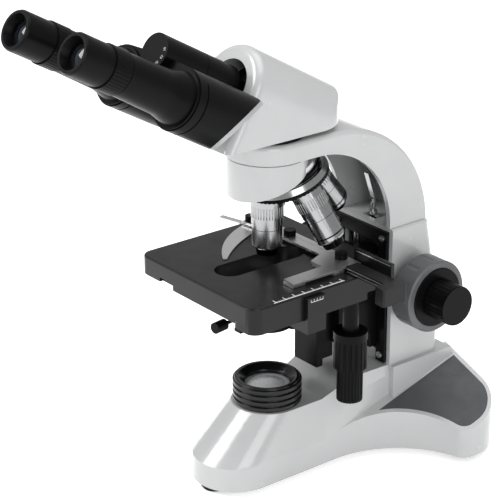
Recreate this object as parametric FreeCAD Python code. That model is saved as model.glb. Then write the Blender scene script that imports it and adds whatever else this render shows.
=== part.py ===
import FreeCAD, Part
import math
import os

# Compound microscope with a binocular head, in millimetres.
# Stand frame: the optical axis is the Z axis, the table is Z = 0, the user
# sits on the -Y side and +X is the user's right hand.
V = FreeCAD.Vector

# --- driving dimensions -------------------------------------------------
# fits
run_gap = 0.05          # radial clearance of a shaft in a hole
slide_gap = 0.4         # gap between two sliding or turning bodies
cover_gap = 0.3         # gap between facing parts of different bodies

# base
foot_height = 6.0
foot_radius = 11.0
base_back = 172.0
base_side = 101.6
base_rear_radius = 30.0
base_corner_radius = 12.0
nose_half_width = 35.0
nose_centre = -32.5
flare_start = 45.0
flare_radius = 81.65
nose_top = 62.0
nose_top_half = 29.5
nose_draft_z = 26.0
ramp_start = 33.0
ramp_end = 62.0
saddle_top = 74.0
leg_wall_top = 35.0
skirt_half_width = 40.0
base_wall = 4.0
plate_thickness = 1.5
panel_thickness = 1.6

# limb and arm
limb_front = 100.0
limb_half_width = 36.0
limb_wall = 4.0
seam_height = 194.0
limb_back_low = 155.0
limb_back_high = 141.0
arm_half_width = 33.0
arm_top = 288.0
arm_centre_y = 43.0
arm_outer_radius = 98.0
throat_centre_y = 24.5
throat_centre_z = 197.5
throat_radius = 75.0
arm_wall = 4.5
arm_round = 4.0
housing_radius = 32.0
seam_size = 1.2

# illuminator
collar_radius = 28.0
collar_top = 83.0
collar_bore = 21.0
lens_radius = 20.0
lens_curve = 40.0
lens_apex = 78.0

# nosepiece and objectives
turret_tilt = 20.0
turret_offset = 20.0
turret_radius = 34.8
turret_face = 240.5
turret_height = 11.0
grip_height = 3.2
grip_bore = 30.8
thread_radius = 10.0
thread_length = 4.5
band_height = 7.6
neck_radius = 30.0
shoulder_height = 230.0
objective_lengths = (40.4, 44.2, 44.2, 28.0)
objective_radius = 13.0
barrel_radius = 12.0
pivot_radius = 5.0
mount_thickness = 5.0
pivot_length = 11.0

# stage
stage_half_width = 72.5
stage_front = -71.5
stage_back = 70.0
stage_top_z = 184.0
stage_thick = 15.5
stage_corner = 10.0
slot_half_width = 12.5
slot_front = -49.0
slot_back = 34.0
stage_drop = 6.0
stage_rim = 8.0
slot_rim = 6.0
hollow_depth = 10.0
lower_thick = 8.0
lower_half_width = 44.0
condenser_hole = 36.0

carriage_low = 88.0
carriage_high = 168.0
rack_low = 100.0
rack_front = 110.5

# slide holder
rail_right = 115.0
rail_front = 29.0
rail_back = 45.0
holder_z = 188.5
finger_pivot = (-62.0, 33.0)
finger_low = 0.35
finger_thick = 0.9
post_height = 5.0

# focus drive
guide_rod_radius = 3.0
guide_rod_x = 15.5
guide_rod_y = 107.5
focus_y = 119.0
focus_z = 142.0
pinion_radius = 6.0
pinion_teeth = 12
tooth_clearance = 1.25
coarse_radius = 30.0
coarse_inner = 42.0
coarse_outer = 69.0
coarse_face_radius = 24.5
fine_radius = 16.5
fine_outer = 93.0
coarse_shaft_radius = 5.0
fine_shaft_radius = 2.5

# condenser
condenser_radius = 20.0
iris_radius = 25.0
condenser_top = 163.0
condenser_low = 129.0
slideway_front = 37.0
slideway_back = 57.0
slideway_low = 82.0
slideway_half_width = 14.0

# stage controls
control_x = 55.0
control_y = 40.0
y_knob_radius = 13.2
x_knob_radius = 10.5
x_knob_low = 71.0

# lamp dial on the left of the waist
dial_y = 20.0
dial_z = 38.0
dial_radius = 11.0
dial_shaft = 5.15

# head
hinge_height = 312.7
tube_tilt = 30.0
head_radius = 33.0
head_bottom = 292.0
head_back = 61.0
head_face = 44.0
head_ring_radius = 29.0
barrel_hinge_radius = 14.0
hinge_front = 119.5
hinge_split = 78.0
head_bore = 20.0
axle_radius = 7.0
arm_rear = 45.2
arm_front = 112.5
prism_radius = 24.0
tube_half_spacing = 36.0
tube_drop = 25.6
eye_tube_radius = 16.0
collar_start = 169.5
collar_end = 186.5
eye_end = 212.5
eyepiece_radius = 15.6
eyepiece_stem = 11.5

# --- worked-out values ---------------------------------------------------
eye_low_y = -(eye_end + hinge_height * 0.5) * math.cos(math.radians(tube_tilt))
eye_low_y += (hinge_height * math.cos(math.radians(tube_tilt)) - tube_drop - eyepiece_radius) * 0.5
shift = V(-(rail_right - base_side) / 2, -(eye_low_y + base_back) / 2, 0)
stage_bottom = stage_top_z - stage_thick
skirt_bottom = stage_bottom - stage_drop
lower_top = stage_bottom - slide_gap
lower_bottom = lower_top - lower_thick
tube_radial = math.hypot(tube_half_spacing, tube_drop)


# --- helpers -------------------------------------------------------------
def box(x0, x1, y0, y1, z0, z1):
    return Part.makeBox(x1 - x0, y1 - y0, z1 - z0, V(x0, y0, z0))


def cyl(radius, z0, z1, x=0.0, y=0.0):
    return Part.makeCylinder(radius, z1 - z0, V(x, y, z0))


def xcyl(radius, x0, x1, y, z):
    return Part.makeCylinder(radius, x1 - x0, V(x0, y, z), V(1, 0, 0))


def ring(outer, inner, z0, z1, x=0.0, y=0.0):
    return cyl(outer, z0, z1, x, y).cut(cyl(inner, z0 - 1, z1 + 1, x, y))


def cone(r0, r1, z0, z1, x=0.0, y=0.0):
    return Part.makeCone(r0, r1, z1 - z0, V(x, y, z0))


def polygon(points, sweep):
    """A closed polygon of vectors swept along a vector."""
    wire = Part.makePolygon(list(points) + [points[0]])
    return Part.Face(wire).extrude(sweep)


def plate(points, z0, z1):
    return polygon([V(x, y, z0) for x, y in points], V(0, 0, z1 - z0))


def side_slab(points, half_width):
    """A (y, z) outline swept across the width."""
    return polygon([V(-half_width, y, z) for y, z in points], V(2 * half_width, 0, 0))


def rounded_box(x0, x1, y0, y1, z0, z1, radius):
    solid = box(x0, x1, y0, y1, z0, z1)
    edges = [e for e in solid.Edges if abs(e.tangentAt(e.FirstParameter).z) > 0.99]
    return solid.makeFillet(radius, edges)


def obround(half_width, y0, y1, z0, z1, x=0.0):
    middle = box(x - half_width, x + half_width, y0 + half_width, y1 - half_width, z0, z1)
    ends = [cyl(half_width, z0, z1, x, y0 + half_width), cyl(half_width, z0, z1, x, y1 - half_width)]
    return middle.fuse(ends).removeSplitter()


def fluted(radius, z0, z1, x, y, count, depth):
    """A knob barrel with grip flutes cut along it."""
    solid = cyl(radius, z0, z1, x, y)
    for i in range(count):
        angle = 2 * math.pi * i / count
        flute_x = x + radius * math.cos(angle)
        flute_y = y + radius * math.sin(angle)
        solid = solid.cut(cyl(depth, z0 - 1, z1 + 1, flute_x, flute_y))
    return solid


def mirrored(solid):
    return solid.mirror(V(0, 0, 0), V(1, 0, 0))


def chamfer_rims(solid, size, pick):
    return solid.makeChamfer(size, [e for e in solid.Edges if pick(e)])


def to_focus_axis(solid):
    """Lays a solid built along +Z onto the focus axis, along +X."""
    turned = solid.copy()
    turned.Placement = FreeCAD.Placement(V(0, focus_y, focus_z), FreeCAD.Rotation(V(0, 1, 0), 90))
    return turned


def to_head(solid):
    """Moves a solid from the tube frame to the stand frame.
    In the tube frame Z runs along the eye tubes towards the user."""
    moved = solid.copy()
    tilt = FreeCAD.Rotation(V(1, 0, 0), 90 - tube_tilt)
    moved.Placement = FreeCAD.Placement(V(0, 0, hinge_height), tilt)
    return moved


def to_turret(solid, turn=0.0):
    """Moves a solid from the turret frame, whose Z runs up the turret's axis
    from the objective face, and turns it about that axis."""
    moved = solid.copy()
    tilt = FreeCAD.Rotation(V(1, 0, 0), turret_tilt)
    spin = FreeCAD.Rotation(V(0, 0, 1), turn)
    lean = math.radians(turret_tilt)
    centre = V(0, turret_offset * math.cos(lean), turret_face + turret_offset * math.sin(lean))
    moved.Placement = FreeCAD.Placement(centre, tilt.multiply(spin))
    return moved


def save(name, *solids):
    """Writes one node as its separate solids, in the part frame."""
    pieces = []
    for shape in solids:
        pieces += shape.Solids
    whole = pieces[0] if len(pieces) == 1 else Part.makeCompound(pieces)
    whole = whole.copy()
    whole.translate(shift)
    whole.exportStep("parts/" + name + ".step")
    print(name, len(pieces), "ok" if whole.isValid() else "INVALID", round(whole.Volume))


def around_turret(solid, angle):
    """Turns a solid about the nosepiece axis."""
    turned = solid.copy()
    lean = math.radians(turret_tilt)
    turned.rotate(V(0, turret_offset * math.cos(lean), turret_face + turret_offset * math.sin(lean)),
                  V(0, -math.sin(lean), math.cos(lean)), angle)
    return turned


# --- base ----------------------------------------------------------------
def base_outline(inset):
    """Plan of the base: round nose, parallel waist, flared rear legs."""
    half = nose_half_width - inset
    side = base_side - inset
    back = base_back - inset
    flare_x = nose_half_width + flare_radius
    flare = flare_radius + inset
    corner = base_corner_radius - inset * 0.5
    corner_x = side - corner
    corner_y = flare_start + math.sqrt((flare + corner) ** 2 - (flare_x - corner_x) ** 2)
    share = flare / (flare + corner)
    join = V(flare_x + (corner_x - flare_x) * share, flare_start + (corner_y - flare_start) * share, 0)
    lead = math.atan2(join.y - flare_start, join.x - flare_x)
    mid_angle = (math.pi + lead) / 2
    flare_mid = V(flare_x + flare * math.cos(mid_angle), flare_start + flare * math.sin(mid_angle), 0)
    turn = (lead - math.pi) / 2
    corner_mid = V(corner_x + corner * math.cos(turn), corner_y + corner * math.sin(turn), 0)
    rear = base_rear_radius - inset
    rear_y = back - rear
    rear_mid = V(side - rear * (1 - math.sqrt(0.5)), back - rear * (1 - math.sqrt(0.5)), 0)
    nose_reach = half * math.sqrt(0.5)
    nose_mid = V(nose_reach, nose_centre - nose_reach, 0)
    right = [Part.Arc(V(0, nose_centre - half, 0), nose_mid, V(half, nose_centre, 0)).toShape(),
             Part.makeLine(V(half, nose_centre, 0), V(half, flare_start, 0)),
             Part.Arc(V(half, flare_start, 0), flare_mid, join).toShape(),
             Part.Arc(join, corner_mid, V(side, corner_y, 0)).toShape(),
             Part.makeLine(V(side, corner_y, 0), V(side, rear_y, 0)),
             Part.Arc(V(side, rear_y, 0), rear_mid, V(side - rear, back, 0)).toShape(),
             Part.makeLine(V(side - rear, back, 0), V(0, back, 0))]
    left = [edge.mirror(V(0, 0, 0), V(1, 0, 0)) for edge in right]
    return Part.Face(Part.Wire(Part.__sortEdges__(right + left)))


def leg_slope(drop):
    """Half-space wedge under the sloping top of the right rear leg."""
    low_front = V(nose_half_width + 1, 66, leg_wall_top + 2 - drop)
    apex = V(skirt_half_width, 161, saddle_top - 10 - drop)
    corner = V(base_side - 3, 132, leg_wall_top - 2 - drop)
    normal = (apex - low_front).cross(corner - low_front)
    if normal.z < 0:
        normal = normal * -1
    normal.normalize()
    frame = FreeCAD.Rotation(V(0, 0, 1), normal)
    slab = Part.makeBox(600, 600, 300, V(-300, -300, -300))
    slab.Placement = FreeCAD.Placement(apex, frame)
    return slab


def footing_profile(drop):
    """(y, z) outline of the limb's footing."""
    back = base_back - drop
    top = saddle_top - drop
    return [(60, 0), (60, top), (166, top), (back - 2, 62 - drop), (back, leg_wall_top), (back, 0)]


def nose_wire(half, centre, z):
    """U-shaped outline of the nose at one height, open end on the ramp."""
    tip = V(0, centre - half, z)
    edges = [Part.makeLine(V(half, ramp_start, z), V(half, centre, z)),
             Part.Arc(V(half, centre, z), tip, V(-half, centre, z)).toShape(),
             Part.makeLine(V(-half, centre, z), V(-half, ramp_start, z)),
             Part.makeLine(V(-half, ramp_start, z), V(half, ramp_start, z))]
    return Part.Wire(edges)


def waist_section(y, top_half, top, draft_z, half):
    """Cross-section of the waist, with its upper flanks leaning in."""
    right = [(top_half, top), (half, draft_z), (half, 0)]
    left = [(-x, z) for x, z in reversed(right)]
    points = [V(x, y, z) for x, z in right + left]
    return Part.makePolygon(points + [points[0]])


def make_waist(inset):
    """Rounded nose, level lamp seat and the ramp up to the limb."""
    half = nose_half_width - inset
    top_half = nose_top_half - inset
    top = nose_top - inset
    rings = [nose_wire(half, nose_centre, nose_draft_z), nose_wire(top_half, 0, top)]
    upper = Part.makeLoft(rings, True, True)
    foot_wire = nose_wire(half, nose_centre, 0)
    lower = Part.Face(foot_wire).extrude(V(0, 0, nose_draft_z))
    high = saddle_top - inset
    sections = [waist_section(ramp_start, top_half, top, nose_draft_z, half),
                waist_section(ramp_end, half - 2.5, high, 60, half),
                waist_section(limb_front + 30, half - 0.5, high, 70, half)]
    ramp = Part.makeLoft(sections, True, True)
    return upper.fuse([lower, ramp]).removeSplitter()


def base_block(inset, low):
    """Outer or inner form of the base, moved in by the wall."""
    form = base_outline(inset).extrude(V(0, 0, saddle_top + 10))
    form.translate(V(0, 0, low))
    waist = make_waist(inset)
    footing = side_slab(footing_profile(inset), skirt_half_width - inset)
    footing = footing.common(box(-90, 90, limb_front + 1 + inset, 300, 0, 200))
    wall = leg_slope(inset).common(box(nose_half_width - 8, 200, 40, 300, 0, 100))
    return form.common(waist.fuse([footing, wall, mirrored(wall)])).removeSplitter()


def make_base():
    solid = base_block(0, foot_height)
    cavity = base_block(base_wall, foot_height - 1)
    solid = solid.cut(cavity)
    panel_cut = panel_form(panel_thickness, cover_gap)
    solid = solid.cut(panel_cut).cut(mirrored(panel_cut))
    solid = solid.cut(cyl(collar_bore, 40, 90))
    solid = solid.cut(box(-12, 12, 112, 140, 60, 90))
    solid = solid.cut(xcyl(dial_shaft + run_gap, -60, 0, dial_y, dial_z))
    solid = solid.cut(box(-47.4, -34.6, base_back - 9, base_back + 1, 17.2, 32.8))
    solid = solid.cut(box(29.8, 58.2, base_back - 9, base_back + 1, 13.8, 34.2))
    inner = base_block(base_wall / 2, foot_height + plate_thickness)
    posts = [cyl(4, foot_height + plate_thickness, 90, x, y).common(inner) for x, y in screw_places()]
    solid = solid.fuse(posts)
    holes = [cyl(1.7, 0, foot_height + 12, x, y) for x, y in screw_places()]
    plate_seat = base_outline(base_wall - 1.5).extrude(V(0, 0, plate_thickness + 1))
    plate_seat.translate(V(0, 0, foot_height - 1))
    return solid.cut(plate_seat).cut(Part.makeCompound(holes)).removeSplitter()


def screw_places():
    return [(-24, -36), (24, -36), (-62, 156), (62, 156)]


def panel_form(depth, grow):
    """Inlay on the sloping top of the right leg."""
    outer = leg_slope(0)
    inner = leg_slope(depth / 0.9)
    margin = base_outline(3.5 - grow).extrude(V(0, 0, 100))
    skin = outer.cut(inner).common(margin)
    return skin.common(box(skirt_half_width + 1.5 - grow, 200, 70, base_back - 4 + grow, 20, 100))


def make_bottom_plate():
    plate_solid = base_outline(base_wall - 1.5 + cover_gap).extrude(V(0, 0, plate_thickness))
    plate_solid.translate(V(0, 0, foot_height))
    holes = [cyl(1.7, 0, 20, x, y) for x, y in screw_places()]
    return plate_solid.cut(Part.makeCompound(holes))


def foot(x, y):
    pad = cone(foot_radius - 1.5, foot_radius, 0, 2, x, y).fuse(cyl(foot_radius, 2, foot_height, x, y))
    return pad.removeSplitter()


def screw(place, direction, length=9.0):
    """A pan-head screw whose head sits on a face, with a cross slot."""
    head = Part.makeCylinder(2.8, 1.6, V(0, 0, 0))
    head = head.cut([box(-0.4, 0.4, -2, 2, 0.8, 3), box(-2, 2, -0.4, 0.4, 0.8, 3)])
    body = head.fuse(Part.makeCylinder(1.5, length, V(0, 0, -length)))
    body.Placement = FreeCAD.Placement(place, FreeCAD.Rotation(V(0, 0, 1), direction))
    return body


def make_base_group():
    save("base", make_base())
    save("bottom_plate", make_bottom_plate())
    save("rubber_feet", foot(0, -54), foot(-84, 142), foot(84, 142))
    panel = panel_form(panel_thickness, 0)
    save("side_panels", panel, mirrored(panel))
    collar = cyl(collar_radius - 1.5, nose_top, collar_top)
    for i in range(4):
        low = nose_top + 0.8 + i * 5.0
        collar = collar.fuse(cyl(collar_radius, low, low + 3.6))
    collar = collar.cut(cyl(collar_bore - 3, nose_top - 1, collar_top + 1))
    collar = collar.cut(cone(lens_radius - 3.5, lens_radius + 4.5, collar_top - 6, collar_top + 1))
    collar = collar.cut(cyl(lens_radius - 3.5, collar_top - 10, collar_top - 5.9))
    collar = collar.cut(cyl(lens_radius + run_gap, collar_top - 10, collar_top - 7.5))
    save("illuminator_collar", collar.removeSplitter())
    glass = cyl(lens_radius, collar_top - 9.9, collar_top - 8)
    dome = Part.makeSphere(lens_curve, V(0, 0, lens_apex - lens_curve))
    dome = dome.common(cyl(lens_radius - 4, collar_top - 9, lens_apex + 1))
    save("illuminator_lens", glass.fuse(dome).removeSplitter())
    lamp = rounded_box(-16, 16, -14, 14, 44, 46, 3).fuse(cyl(7, 46, 49))
    lamp = lamp.fuse(Part.makeSphere(5, V(0, 0, 49)).common(cyl(6, 49, 60)))
    corners = [(x, y) for x in (-12, 12) for y in (-10, 10)]
    legs = [cyl(2, foot_height + plate_thickness, 44, x, y) for x, y in corners]
    save("lamp_board", lamp.fuse(legs).removeSplitter())


# --- limb and arm ----------------------------------------------------------
def limb_profile(drop, low, high):
    """Side outline of the lower limb, slightly bellied behind."""
    front = limb_front + drop
    back = [(limb_back_high, high), (146.5, 165), (152, 130), (limb_back_low, 96), (limb_back_low, low)]
    return [(front, low), (front, high)] + [(y - drop, z) for y, z in back]


def on_limb_top(edge):
    """Rim of the limb's top, apart from its front edge."""
    return edge.BoundBox.ZMin > seam_height - 0.1 and edge.BoundBox.YMin > limb_front + 1


def on_arm_top(edge):
    """Rim of the arch's upper face, apart from the joins across it."""
    bounds = edge.BoundBox
    long_enough = bounds.ZLength + bounds.YLength > 20 and bounds.XLength < 40
    upright = bounds.YLength < 0.1 and bounds.ZLength > 5
    return bounds.ZMax > arm_top - 0.1 and bounds.ZMin > seam_height - 0.1 and long_enough and not upright


def make_limb():
    solid = side_slab(limb_profile(0, saddle_top, seam_height), limb_half_width)
    upright = [e for e in solid.Edges if e.BoundBox.XMin > 35 or e.BoundBox.XMax < -35]
    upright = [e for e in upright if e.BoundBox.YMin > 120 and e.BoundBox.ZLength > 5]
    solid = solid.makeFillet(7.0, upright)
    solid = chamfer_rims(solid, 1.5, on_limb_top)
    hollow = limb_profile(limb_wall, saddle_top - 1, seam_height - limb_wall)
    inside = side_slab(hollow, limb_half_width - limb_wall)
    solid = solid.cut(inside)
    window = box(-22, 22, limb_front - 1, limb_front + limb_wall + 1, 84, 181)
    solid = solid.cut(window)
    solid = solid.cut(box(-8, 8, 106, 116, seam_height - 10, seam_height + 1))
    return solid.cut(xcyl(coarse_shaft_radius + run_gap, -60, 60, focus_y, focus_z))


def arm_face(outer, inner, x):
    """Side view of the arch between an outer and an inner inset."""
    top = arm_top - outer
    big = arm_outer_radius - outer
    small = throat_radius + inner
    out_end = math.sqrt(big ** 2 - (seam_height - (arm_top - arm_outer_radius)) ** 2)
    in_end = math.sqrt(small ** 2 - (throat_centre_z - seam_height) ** 2)
    centre_z = arm_top - arm_outer_radius
    front = -arm_half_width - 5
    throat_top = throat_centre_z + small
    outer_mid = V(x, arm_centre_y + big * math.sqrt(0.5), centre_z + big * math.sqrt(0.5))
    inner_mid = V(x, throat_centre_y + small * math.sqrt(0.5), throat_centre_z + small * math.sqrt(0.5))
    a = V(x, front, top)
    b = V(x, arm_centre_y, top)
    c = V(x, arm_centre_y + out_end, seam_height)
    d = V(x, throat_centre_y + in_end, seam_height)
    e = V(x, throat_centre_y, throat_top)
    f = V(x, front, throat_top)
    edges = [Part.makeLine(a, b), Part.Arc(b, outer_mid, c).toShape(), Part.makeLine(c, d),
             Part.Arc(d, inner_mid, e).toShape(), Part.makeLine(e, f), Part.makeLine(f, a)]
    return Part.Face(Part.Wire(edges))


def nosepiece_cut(lift):
    """Everything below the slanted seat of the nosepiece."""
    return to_turret(Part.makeBox(300, 300, 200, V(-150, -150, lift - 200)))


def make_arm():
    solid = arm_face(0, 0, -arm_half_width).extrude(V(2 * arm_half_width, 0, 0))
    nose = cyl(arm_half_width, 200, 300).fuse(box(-60, 60, 0, 200, 150, 320))
    solid = solid.common(nose)
    rims = [e for e in solid.Edges if on_arm_top(e)]
    solid = solid.makeFillet(arm_round, rims)
    housing = cyl(housing_radius, 200, throat_centre_z + throat_radius + 2)
    housing = housing.cut(nosepiece_cut(turret_height + cover_gap))
    solid = solid.fuse(housing)
    seam_z = throat_centre_z + throat_radius
    seam = ring(50, housing_radius - seam_size, seam_z - seam_size, seam_z)
    solid = solid.cut(seam.common(box(-60, 60, -60, throat_centre_y, 200, 300)))
    channel_half = arm_half_width - arm_wall
    channel = arm_face(arm_wall, -2, -channel_half).extrude(V(2 * channel_half, 0, 0))
    channel = channel.common(box(-60, 60, 30, 200, 150, 320))
    solid = solid.cut(channel)
    solid = solid.cut(cyl(head_ring_radius + cover_gap, arm_top - 4, 300))
    solid = solid.cut(cyl(16, 200, 300))
    seat = Part.makeCylinder(housing_radius - 4, mount_thickness, V(0, 0, turret_height + cover_gap))
    return solid.cut(to_turret(seat)).removeSplitter()


def make_focus_plate():
    frame = rounded_box(-32.4, 32.4, limb_front - 3, limb_front, 76, 191, 1.0)
    frame = frame.cut(box(-22, 22, limb_front - 4, limb_front + 1, 70, 180))
    holes = [Part.makeCylinder(1.6, 12, V(x, limb_front - 6, z), V(0, 1, 0)) for x, z in plate_screws()]
    return frame.cut(Part.makeCompound(holes))


def plate_screws():
    return [(-27, 185), (27, 185), (-27, 82), (27, 82)]


def make_limb_group():
    limb = make_limb()
    arm = make_arm()
    arm = arm.cut(box(-20, 20, 80, 130, seam_height - 5, seam_height)).removeSplitter()
    holes = [Part.makeCylinder(1.6, 12, V(x, limb_front - 6, z), V(0, 1, 0)) for x, z in plate_screws()]
    save("limb", limb.cut(Part.makeCompound(holes)))
    save("arm", arm)
    save("focus_plate", make_focus_plate())
    screws = [screw(V(x, limb_front - 3, z), V(0, -1, 0), 8) for x, z in plate_screws()]
    screws += [screw(V(x, y, foot_height), V(0, 0, -1), 8) for x, y in screw_places()]
    save("cover_screws", *screws)
    hook_outline = [(102, 232), (125, 232), (127, 228), (109, 227), (113, 216), (114, 209), (110, 209)]
    hook = side_slab(hook_outline, 2.5)
    rod = cyl(1.5, seam_height, 208, 0, 111)
    rod = rod.fuse([cyl(3.2, seam_height, 198, 0, 111), cyl(2.4, 202, 205, 0, 111)])
    guides = [cyl(guide_rod_radius, saddle_top, seam_height - limb_wall, x, guide_rod_y)
              for x in (-guide_rod_x, guide_rod_x)]
    save("focus_stop", hook, rod.removeSplitter(), *guides)


# --- nosepiece -------------------------------------------------------------
def objective(length, tip_radius):
    """An objective on the optical axis, hanging from its shoulder."""
    tip = shoulder_height - length
    barrel = barrel_radius if length > 30 else barrel_radius - 0.5
    low = tip + 6 if length > 30 else tip + 1
    solid = fluted(objective_radius, shoulder_height - 9, shoulder_height, 0, 0, 36, 0.35)
    solid = solid.fuse(cyl(objective_radius - 0.6, shoulder_height - 15, shoulder_height - 9))
    solid = solid.fuse(cone(barrel - 0.6, barrel, low, low + 1.5))
    solid = solid.fuse(cyl(barrel, low + 1.5, shoulder_height - 15))
    if length > 30:
        solid = solid.fuse(cone(tip_radius, barrel - 2.5, tip, low))
    solid = solid.fuse(cyl(thread_radius, shoulder_height, shoulder_height + thread_length))
    solid = solid.cut(cone(tip_radius - 1.5, tip_radius - 3, tip - 0.01, tip + 1.2))
    return solid.removeSplitter()


def make_turret_group():
    band = band_height - grip_height
    disc = Part.makeCone(turret_radius - 0.3, turret_radius - 2.6, band, V(0, 0, grip_height))
    disc = disc.fuse(Part.makeCylinder(neck_radius, turret_height - band_height, V(0, 0, band_height)))
    disc = disc.fuse(Part.makeCylinder(grip_bore, grip_height))
    disc = to_turret(disc.removeSplitter())
    for k in range(4):
        boss = cyl(objective_radius, shoulder_height, turret_face + 12)
        boss = boss.cut(cyl(thread_radius + run_gap, 220, shoulder_height + thread_length))
        boss = boss.common(to_turret(Part.makeBox(400, 400, 240 + grip_height, V(-200, -200, -240))))
        disc = disc.fuse(around_turret(boss, 90 * k))
    rim = Part.makeCylinder(turret_radius + 2, grip_height).cut(Part.makeCylinder(grip_bore, grip_height))
    disc = disc.cut(to_turret(rim))
    disc = disc.cut(to_turret(Part.makeCylinder(pivot_radius + run_gap, 60, V(0, 0, -1))))
    save("turret_disc", disc.removeSplitter())
    grip = Part.makeCylinder(turret_radius, grip_height)
    for i in range(60):
        angle = math.radians(6 * i)
        spot = V(turret_radius * math.cos(angle), turret_radius * math.sin(angle), -5)
        grip = grip.cut(Part.makeCylinder(0.7, 20, spot))
    grip = grip.cut(Part.makeCylinder(grip_bore, 20, V(0, 0, -5)))
    save("turret_grip", to_turret(grip))
    mount = Part.makeCylinder(housing_radius - 4, mount_thickness, V(0, 0, turret_height + cover_gap))
    pin_low = turret_height + cover_gap - pivot_length
    pin = Part.makeCylinder(pivot_radius, pivot_length + mount_thickness, V(0, 0, pin_low))
    mount = mount.fuse(pin)
    save("turret_pivot", to_turret(mount.removeSplitter()))
    names = ("objective_10x", "objective_40x", "objective_100x", "objective_4x")
    for k, name in enumerate(names):
        length = objective_lengths[k]
        tip_radius = 8.5 if k != 2 else 7.0
        save(name, around_turret(objective(length, tip_radius), 90 * k))


# --- stage -------------------------------------------------------------------
def make_stage_top():
    solid = rounded_box(-stage_half_width, stage_half_width, stage_front, stage_back,
                        stage_bottom, stage_top_z, stage_corner)
    solid = solid.makeFillet(1.5, [e for e in solid.Edges if e.BoundBox.ZMin > stage_top_z - 0.01])
    skirt = rounded_box(46, stage_half_width, stage_front + 0.5, 45, skirt_bottom, stage_bottom + 1, 6)
    plan = rounded_box(-stage_half_width, stage_half_width, stage_front, stage_back, 150, 190, stage_corner)
    skirt = skirt.common(plan)
    solid = solid.fuse(skirt)
    solid = solid.cut(obround(slot_half_width, slot_front, slot_back, stage_bottom - 1, stage_top_z + 1))
    low = stage_bottom - 1
    hollow = rounded_box(-lower_half_width, lower_half_width, stage_front + stage_rim, stage_back - stage_rim,
                         low, low + hollow_depth, 6)
    keep = obround(slot_half_width + slot_rim, slot_front - slot_rim, slot_back + slot_rim,
                   low - 1, low + hollow_depth + 1)
    solid = solid.cut(hollow.cut(keep))
    front_notch = box(-45, 31, stage_front - 1, stage_front + 3, stage_bottom - 1, stage_bottom + 3.5)
    solid = solid.cut(front_notch)
    stem_hole = cyl(4.2, skirt_bottom - 1, stage_bottom + 6, control_x, control_y)
    return solid.cut(stem_hole).removeSplitter()


def make_lower_stage():
    lower = rounded_box(-lower_half_width, lower_half_width, -63, 66, lower_bottom, lower_top, 6)
    lower = lower.cut(cyl(condenser_hole, lower_bottom - 1, lower_top + 1))
    lug = box(38, stage_half_width + 4, -22, -4, 152, skirt_bottom - slide_gap)
    index = box(stage_half_width + 0.6, stage_half_width + 4, -22, -4, 152, stage_top_z - 3)
    return lower.fuse([lug, index]).removeSplitter()


def make_stage_carriage():
    rack_root = focus_y - pinion_radius - tooth_clearance
    back = box(-21.5, 21.5, limb_front - 9, limb_front - slide_gap, carriage_low, carriage_high)
    shelf = box(-30, 30, slideway_back, limb_front - 9, 140, lower_bottom)
    block = box(-21.5, 21.5, slideway_back, limb_front - 9, rack_low, lower_bottom)
    guide = box(-10, 10, limb_front - slide_gap - 1, rack_front, rack_low, carriage_high)
    rack = box(-5, 5, rack_front, rack_root, rack_low, carriage_high)
    solid = back.fuse([shelf, block, guide, rack])
    teeth = []
    pitch = 2 * math.pi * pinion_radius / pinion_teeth
    count = int((carriage_high - rack_low) / pitch) - 1
    first = math.floor((rack_low + 1 - focus_z) / pitch) + 1.5
    for i in range(count):
        z = focus_z + (first + i) * pitch
        teeth.append(side_slab(rack_tooth(rack_root, z), 5))
    return solid.fuse(teeth).removeSplitter()


def rack_tooth(root, z):
    """(y, z) outline of one rack tooth, sunk a little into the rack."""
    tip = root + 2.1
    return [(root - 0.2, z - 1.05), (tip, z - 0.35), (tip, z + 0.35), (root - 0.2, z + 1.05)]


def make_pinion():
    gear = cyl(pinion_radius - 1.3, -6, 6)
    low = pinion_radius - 1.6
    high = pinion_radius + 0.9
    for i in range(pinion_teeth):
        angle = 360.0 * i / pinion_teeth
        tooth = plate([(low, -0.95), (high, -0.3), (high, 0.3), (low, 0.95)], -6, 6)
        tooth.rotate(V(0, 0, 0), V(0, 0, 1), angle)
        gear = gear.fuse(tooth)
    shaft = cyl(coarse_shaft_radius, -coarse_outer + 6, coarse_outer - 6)
    solid = gear.fuse(shaft).cut(cyl(fine_shaft_radius + run_gap, -100, 100))
    return to_focus_axis(solid.removeSplitter())


def coarse_knob():
    """Right coarse knob about the Z axis, before it is laid along X."""
    grip = cyl(coarse_radius, coarse_inner + 6, coarse_outer)
    grip = grip.fuse(cone(coarse_radius - 5, coarse_radius, coarse_inner, coarse_inner + 6))
    grip = chamfer_rims(grip.removeSplitter(), 1.2, lambda e: e.BoundBox.ZMin > coarse_outer - 0.1)
    for i in range(12):
        angle = math.radians(30 * i)
        dent = cyl(5, coarse_inner + 8, coarse_outer - 6, (coarse_radius + 4.3) * math.cos(angle),
                   (coarse_radius + 4.3) * math.sin(angle))
        grip = grip.cut(dent)
    grip = grip.cut(cyl(coarse_shaft_radius, 0, coarse_outer - 6))
    grip = grip.cut(cyl(coarse_face_radius, coarse_outer - 6, coarse_outer + 1))
    return grip.removeSplitter()


def coarse_face():
    face = cyl(coarse_face_radius, coarse_outer - 6, coarse_outer + 1.2)
    return face.cut(cyl(fine_shaft_radius + 0.3, 0, 100))


def fine_knob():
    knob = fluted(fine_radius, coarse_outer + 3, fine_outer, 0, 0, 28, 0.5)
    knob = knob.fuse(cone(fine_radius - 3, fine_radius - 0.6, coarse_outer + 1.8, coarse_outer + 3))
    knob = knob.cut(cyl(fine_shaft_radius, 0, fine_outer - 5))
    top = cyl(fine_radius - 0.4, fine_outer - 1.4, fine_outer)
    return knob.common(cyl(fine_radius, 0, fine_outer - 1.4).fuse(top)).removeSplitter()


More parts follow.
